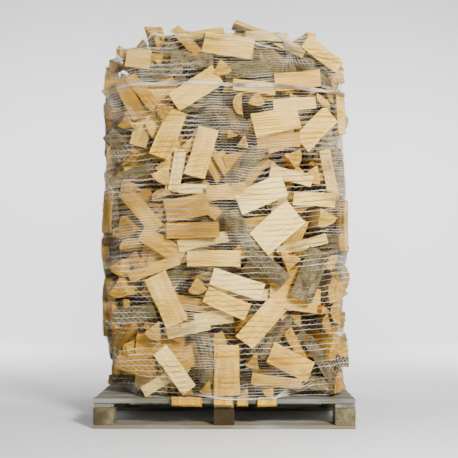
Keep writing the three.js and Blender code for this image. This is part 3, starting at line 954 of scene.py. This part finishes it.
class Drape:
    """Where the taut net lies. Rays find the logs under it. Then each spot is drawn to just under the mean of
    its neighbours, more along the strands than across them, but never below the wood."""

    def __init__(self):
        angles = plan_angles(ROUND)
        self.heights, shares, self.run = profile_levels(UP)
        c, s = np.cos(angles)[:, None], np.sin(angles)[:, None]
        z = np.broadcast_to(self.heights, (ROUND, UP))
        share = np.broadcast_to(shares, (ROUND, UP))
        power = plan_power(np.broadcast_to(c, z.shape), z)
        x = np.sign(c) * np.abs(c) ** (2 / power) * half_length(z) * share
        y = np.sign(s) * np.abs(s) ** (2 / power) * HALF_DEPTH * share
        self.base = np.stack([x, y, z], axis=-1)
        probe = self.base.copy()
        probe[..., 2] = np.minimum(probe[..., 2], CROWN_TOP - 0.0015)
        self.normal = outward(probe.reshape(-1, 3)).reshape(self.base.shape)
        tree = wood_under_net()
        reach, lowest, clearance, sag = 0.07, -0.13, 0.0032, 0.0007
        wood = np.full((ROUND, UP), -0.2)
        for i in range(ROUND):
            for j in range(UP):
                n = Vector(self.normal[i, j])
                hit = tree.ray_cast(Vector(self.base[i, j]) + n * reach, -n, 0.25)
                if hit[0] is not None:
                    wood[i, j] = reach - hit[3]
        wood += clearance
        rise = np.maximum(wood, lowest)
        for _ in range(120):
            sideways = (np.roll(rise, 1, axis=0) + np.roll(rise, -1, axis=0)) / 2
            padded = np.pad(rise, ((0, 0), (1, 1)), mode="edge")
            upward = (padded[:, :-2] + padded[:, 2:]) / 2
            rise = np.maximum(wood, 0.8 * sideways + 0.2 * upward - sag)
        self.lie = self.base + self.normal * np.maximum(rise, lowest)[..., None]

    def at(self, along, up):
        """Points of the net and its outward direction at fractional places, closed round the load."""
        i, j = np.floor(along).astype(int), np.clip(np.floor(up).astype(int), 0, UP - 2)
        a, b = (along - i)[:, None], np.clip(up - j, 0, 1)[:, None]
        i0, i1 = i % ROUND, (i + 1) % ROUND
        both = []
        for field in (self.lie, self.normal):
            low = field[i0, j] * (1 - a) + field[i1, j] * a
            high = field[i0, j + 1] * (1 - a) + field[i1, j + 1] * a
            both.append(low * (1 - b) + high * b)
        return both

    def up_of(self, z):
        """How many places up the net a height is."""
        return np.interp(z, self.heights, np.arange(UP))

    def front(self, x, z):
        """Places along and up of spots at the front, from their x and z."""
        up = self.up_of(z)
        half_round = np.arange(ROUND // 2, ROUND)
        level = np.clip(np.round(up).astype(int), 0, UP - 1)
        along = [np.interp(xi, self.base[half_round, lv, 0], half_round) for xi, lv in zip(x, level)]
        return np.array(along), up


class Strands:
    """Ribbons gathered for one mesh, each a flattened three-sided sweep along a path."""

    def __init__(self):
        self.points, self.faces, self.caps, self.count = [], [], [], 0

    def add(self, path, normal, width, thick, closed):
        """Adds one ribbon: at each point of the path its two edges lie half a width to the sides, and its
        ridge stands out by its thickness."""
        n = len(path)
        ahead = np.roll(path, -1, axis=0) - np.roll(path, 1, axis=0)
        if not closed:
            ahead[0], ahead[-1] = path[1] - path[0], path[-1] - path[-2]
        side = np.cross(ahead, normal)
        side /= np.maximum(np.linalg.norm(side, axis=1, keepdims=True), 1e-9)
        half_wide = np.broadcast_to(np.asarray(width, float).reshape(-1, 1) / 2, (n, 1))
        rows = [path - side * half_wide, path + normal * thick, path + side * half_wide]
        self.points.append(np.stack(rows, axis=1).reshape(-1, 3))
        k = np.arange(n if closed else n - 1)
        a, b = self.count + 3 * k, self.count + 3 * ((k + 1) % n)
        for p, q in ((0, 1), (1, 2), (2, 0)):
            self.faces.append(np.stack([a + p, a + q, b + q, b + p], axis=1))
        if not closed:
            last = self.count + 3 * (n - 1)
            self.caps += [[self.count + 2, self.count + 1, self.count], [last, last + 1, last + 2]]
        self.count += 3 * n

    def build(self, name):
        """Makes the ribbons one mesh of the net."""
        faces = np.concatenate(self.faces).tolist() + self.caps
        made = new_mesh_object(name, np.concatenate(self.points), faces, [NET_FINISH])
        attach(made, "root")
        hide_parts("net")


def net_plastic():
    """Whitish plastic, duller and browner in patches, with whiter patches that are painted sheen."""
    material = bpy.data.materials.new("net_strands")
    material.use_nodes = True
    shader = material.node_tree.nodes["Principled BSDF"]
    place = material.node_tree.nodes.new("ShaderNodeTexCoord")
    place = Wire(place.outputs["Object"])
    # Painted sheen: a noise mixes the duller, browner strand colour with a whiter one.
    sheen_patches = place.stretched(0.6, 0.6, 1.6).noise(7, 2, 0.5).step(0.40, 0.60)
    plug(shader, Base_Color=sheen_patches.blend(tint(128, 114, 86), tint(218, 211, 194)))
    shader.inputs["Roughness"].default_value = 0.45
    return material


NET_FINISH = net_plastic()


def wander(along, rng, size, waves):
    """A slow random wave round the load, the same where it closes on itself."""
    total = np.zeros(len(along))
    turn = 2 * math.pi * along / ROUND
    for wave in range(1, waves + 1):
        total += rng.normal(0, 1) * np.sin(wave * turn + rng.uniform(0, 2 * math.pi)) / wave**0.5
    return total * size


def round_noise(along, row, size, seed):
    """Lattice noise over the net that closes on itself round the load."""
    turn = 2 * math.pi * along / ROUND
    spots = np.column_stack([np.cos(turn) * size, np.sin(turn) * size, np.full(len(along), row)])
    return lattice_noise(spots, seed)


def net_wraps():
    """Two wraps of the net. Strands of the second lie on those of the first in some places, and between them
    in others. On the crown the strands are fewer, and the second wrap stops at its edge."""
    rng = np.random.default_rng(3)
    per_metre = UP / net.run
    along = np.arange(0, ROUND, 1.0)
    gap, lowest, knot_room, thinned_above, second_top = 0.0245, 0.010, 0.06, 1.90, 1.86
    rows = np.arange(lowest, net.run - knot_room, gap)
    over = rows > net.up_of(thinned_above) / per_metre
    rows = np.concatenate([rows[~over], rows[over][::3]])
    slow = wander(along, rng, 0.009, 5)
    lines = []
    for row in rows:
        waver = round_noise(along, row * 14, 16, 2) * 0.0028 + round_noise(along, row * 5, 5, 4) * 0.009
        lines.append(row + (slow + waver) * min(1.0, 0.1 + row / 0.2))
    for wrap in (0, 1):
        strands, threads = Strands(), Strands()
        places = []
        for row, line in zip(rows, lines):
            if wrap and row > net.up_of(second_top) / per_metre:
                break
            place = line
            if wrap:
                apart = np.clip(0.30 + 1.8 * round_noise(along, row * 2.6, 3.2, 9), 0.06, 1)
                place = line + 0.0125 * apart + round_noise(along, row * 30, 20, 6) * 0.0012
            place = np.clip(place * per_metre, 0.2, UP - 1.5)
            places.append(place)
            path, out = net.at(along, place)
            width = 0.0016 + 0.0005 * round_noise(along, row * 40, 30, 12)
            strands.add(path + out * 0.0008 * (1 + wrap), out, width, 0.0009, True)
        for low, high in zip(places, places[1:]):
            legs = along + rng.normal(0, 0.12, ROUND)
            foot = np.interp(legs, along, low, period=ROUND)
            head = np.interp(legs, along, high, period=ROUND)
            path, out = net.at(legs, np.where(np.arange(ROUND) % 2 == 0, foot, head))
            threads.add(path + out * 0.0008, out, 0.0007, 0.0005, True)
        name = ("net_first_wrap", "net_second_wrap")[wrap]
        strands.build(name + "_strands")
        threads.build(name + "_threads")


def roped_edge(strands, xs, zs, count, width, seed):
    """Strands that run together round the load as a flat rope, changing places as they go. xs and zs give its
    height across the front, and it runs straight on round the back."""
    rng = np.random.default_rng(seed)
    along = np.arange(0, ROUND, 1.0)
    knots, _ = net.front(np.array(xs, float), np.array(zs, float))
    height = np.interp(along, knots, zs, period=ROUND)
    lift = 0.0025 + 0.001 * rng.uniform(0, 1, count)
    for k in range(count):
        turn = 2 * math.pi * (along / ROUND * rng.integers(9, 17) + k / count)
        across = (np.sin(turn) * 0.62 + np.sin(turn * 2 + k) * 0.2) * width / 2
        across = across + round_noise(along, k * 3, 12, seed) * 0.002
        place = net.up_of(height + across)
        path, out = net.at(along, place)
        raised = lift[k] + 0.002 * (1 + np.cos(turn))
        strands.add(path + out * raised[:, None], out, 0.0024, 0.0014, True)


def free_strand(strands, spots, width, lift):
    """A loose strand at the front, through spots given as x and z."""
    spots = np.array(spots, float)
    t = np.linspace(0, len(spots) - 1, 24)
    x, z = (np.interp(t, np.arange(len(spots)), spots[:, axis]) for axis in (0, 1))
    path, out = net.at(*net.front(x, z))
    strands.add(path + out * lift, out, width, 0.001, False)


def bands_and_gather():
    """Everything in the net that runs more thickly than its wraps, as one mesh."""
    strands = Strands()
    # The net's roped edge round the load, and a thinner band over the shoulder.
    xs = [-0.60, -0.50, -0.36, -0.25, -0.10, 0.05, 0.20, 0.35, 0.48, 0.60]
    zs = [1.582, 1.590, 1.598, 1.604, 1.598, 1.590, 1.584, 1.576, 1.564, 1.556]
    roped_edge(strands, xs, zs, 11, 0.017, 21)
    xs = [-0.60, -0.46, -0.34, -0.24, -0.10, 0.10, 0.28, 0.45, 0.60]
    zs = [1.740, 1.790, 1.842, 1.846, 1.822, 1.806, 1.770, 1.740, 1.715]
    roped_edge(strands, xs, zs, 3, 0.007, 22)
    # The gather: strands come down off the crown to one knot and spread out from it.
    rng = np.random.default_rng(4)
    for k in range(9):
        t = k / 8
        spots = [
            (0.165 + 0.05 * t, 1.93 - 0.02 * t),
            (0.225 + 0.03 * t, 1.87 + rng.normal(0, 0.004)),
            (0.283 + 0.008 * t, 1.800 + rng.normal(0, 0.003)),
            (0.30 + 0.05 * t, 1.74 + 0.03 * t),
            (0.27 + 0.16 * t, 1.66 + 0.05 * t),
        ]
        free_strand(strands, spots, 0.0018, 0.003 + 0.002 * (k % 3))
    # Loose strands along the bottom edge, and a fan of them at the lower right.
    for k in range(4):
        dip = rng.normal(0, 0.004)
        spots = [(-0.10 - 0.03 * k, 0.165), (0.0, 0.142 + dip), (0.10, 0.138), (0.21 + 0.03 * k, 0.150)]
        free_strand(strands, spots, 0.0022, 0.006)
    for k in range(6):
        t = k / 5
        spots = [
            (0.205 + 0.02 * t, 0.138),
            (0.27, 0.150 + 0.020 * t),
            (0.35 - 0.01 * t, 0.165 + 0.075 * t),
            (0.42, 0.20 + 0.10 * t),
        ]
        free_strand(strands, spots, 0.0015, 0.004)
    strands.build("net_roped_edge")


wood_pieces = pile_pieces + outer_pieces
net = Drape()
net_wraps()
bands_and_gather()


# ---- Floor, light and camera -------------------------------------------------------------------------
# A pale paper sweep, a soft key light near the camera's right, weaker ones from the left and above, and two
# lamps on the wall behind. The camera stands in front, a little to the right and below the middle.


def area_light(name, place, aim, side, power):
    """A square lamp at a place, turned to face another."""
    lamp = bpy.data.lights.new(name, "AREA")
    lamp.shape, lamp.size, lamp.energy = "SQUARE", side, power
    made = bpy.data.objects.new(name, lamp)
    made.location = place
    made.rotation_euler = (Vector(aim) - Vector(place)).to_track_quat("-Z", "Y").to_euler()
    bpy.context.scene.collection.objects.link(made)
    made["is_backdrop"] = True


def stage():
    """The paper sweep, the lamps, the room light and the camera."""
    paper = bpy.data.materials.new("paper")
    paper.use_nodes = True
    shader = paper.node_tree.nodes["Principled BSDF"]
    shader.inputs["Base Color"].default_value = (0.82, 0.82, 0.82, 1)
    shader.inputs["Roughness"].default_value = 0.9
    # The floor curves up into a wall far behind.
    bend = [(4.0 + 2.0 * math.sin(a), 2.0 - 2.0 * math.cos(a)) for a in np.linspace(0, math.pi / 2, 13)]
    profile = [(-12.0, 0.0)] + bend + [(6.0, 9.0)]
    corners = np.array([(x, y, z) for y, z in profile for x in (-12.0, 12.0)])
    sheets = [[2 * k, 2 * k + 1, 2 * k + 3, 2 * k + 2] for k in range(len(profile) - 1)]
    new_mesh_object("floor", corners, sheets, [paper], sharp=60)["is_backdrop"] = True
    area_light("main_softbox", (1.5, -3.2, 2.0), (0, 0, 0.95), 0.8, 290)
    area_light("fill_softbox", (-2.6, -4.2, 1.8), (0, 0, 0.9), 2.4, 34)
    area_light("top_softbox", (0, 0.2, 5.0), (0, 0, 1), 3, 90)
    area_light("wall_light_left", (-3.4, 2.2, 2.2), (-0.5, 6.0, 1.5), 2, 300)
    area_light("wall_light_right", (3.4, 2.2, 2.2), (0.5, 6.0, 1.5), 2, 300)
    world = bpy.data.worlds.new("studio")
    world.use_nodes = True
    background = world.node_tree.nodes["Background"]
    background.inputs["Color"].default_value = (1, 1, 1, 1)
    background.inputs["Strength"].default_value = 0.12
    bpy.context.scene.world = world
    lens = bpy.data.cameras.new("camera")
    lens.lens = 57.8
    camera = bpy.data.objects.new("camera", lens)
    camera.location = (0.050, -3.90, 0.701)
    view = Vector((0.022, -0.5, 0.914)) - camera.location
    camera.rotation_euler = view.to_track_quat("-Z", "Y").to_euler()
    bpy.context.scene.collection.objects.link(camera)
    bpy.context.scene.camera = camera


stage()

plain = [[list(map(float, corner)) for corner in box] for box in (packed_bounds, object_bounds())]
